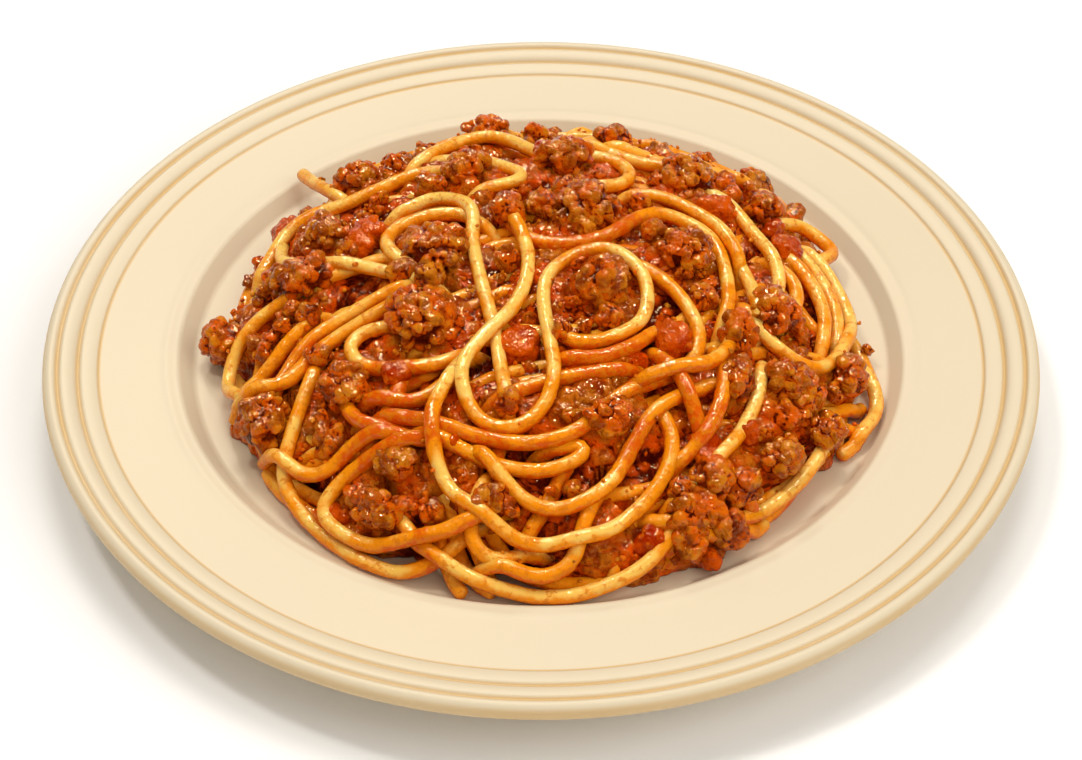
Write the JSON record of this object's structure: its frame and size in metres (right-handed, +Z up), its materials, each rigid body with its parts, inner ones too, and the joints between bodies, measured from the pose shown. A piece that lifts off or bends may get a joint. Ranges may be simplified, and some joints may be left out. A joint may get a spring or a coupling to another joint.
{
  "type": "spaghetti bolognese on a plate",
  "caption": "Round ceramic plate with a broad flat rim and a shallow well, heaped with spaghetti in a meat and tomato sauce with minced meat clumps and tomato pieces.",
  "frame": {"origin": "centre of the plate's foot ring, on the table", "axes": "+Z up through the middle of the plate, -Y towards the diner"},
  "size_m": [0.24, 0.24, 0.0455],
  "materials": {
    "plate_glaze": "warm ivory gloss glaze, tan in the grooves of the rim",
    "sauced_pasta": "cooked spaghetti, yellow to orange with an oily coat of sauce",
    "minced_meat": "browned minced meat, wet with sauce",
    "tomato": "stewed tomato, glossy red"
  },
  "bodies": {
    "root": {"plate": "plate_glaze", "spaghetti": "sauced_pasta", "mince_clump_01": "minced_meat", "mince_clump_02": "minced_meat", "mince_clump_03": "minced_meat", "mince_clump_04": "minced_meat", "mince_clump_05": "minced_meat", "mince_clump_06": "minced_meat", "mince_clump_07": "minced_meat", "mince_clump_08": "minced_meat", "mince_clump_09": "minced_meat", "mince_clump_10": "minced_meat", "mince_clump_11": "minced_meat", "mince_clump_12": "minced_meat", "mince_clump_13": "minced_meat", "mince_clump_14": "minced_meat", "mince_clump_15": "minced_meat", "mince_clump_16": "minced_meat", "mince_clump_17": "minced_meat", "mince_clump_18": "minced_meat", "mince_clump_19": "minced_meat", "mince_clump_20": "minced_meat", "mince_clump_21": "minced_meat", "mince_clump_22": "minced_meat", "mince_clump_23": "minced_meat", "mince_clump_24": "minced_meat", "mince_clump_25": "minced_meat", "mince_clump_26": "minced_meat", "mince_clump_27": "minced_meat", "mince_clump_28": "minced_meat", "mince_clump_29": "minced_meat", "mince_clump_30": "minced_meat", "mince_clump_31": "minced_meat", "tomato_piece_01": "tomato", "tomato_piece_02": "tomato", "tomato_piece_03": "tomato", "tomato_piece_04": "tomato", "tomato_piece_05": "tomato", "tomato_piece_06": "tomato", "tomato_piece_07": "tomato", "tomato_piece_08": "tomato", "tomato_piece_09": "tomato"}
  },
  "joints": []
}
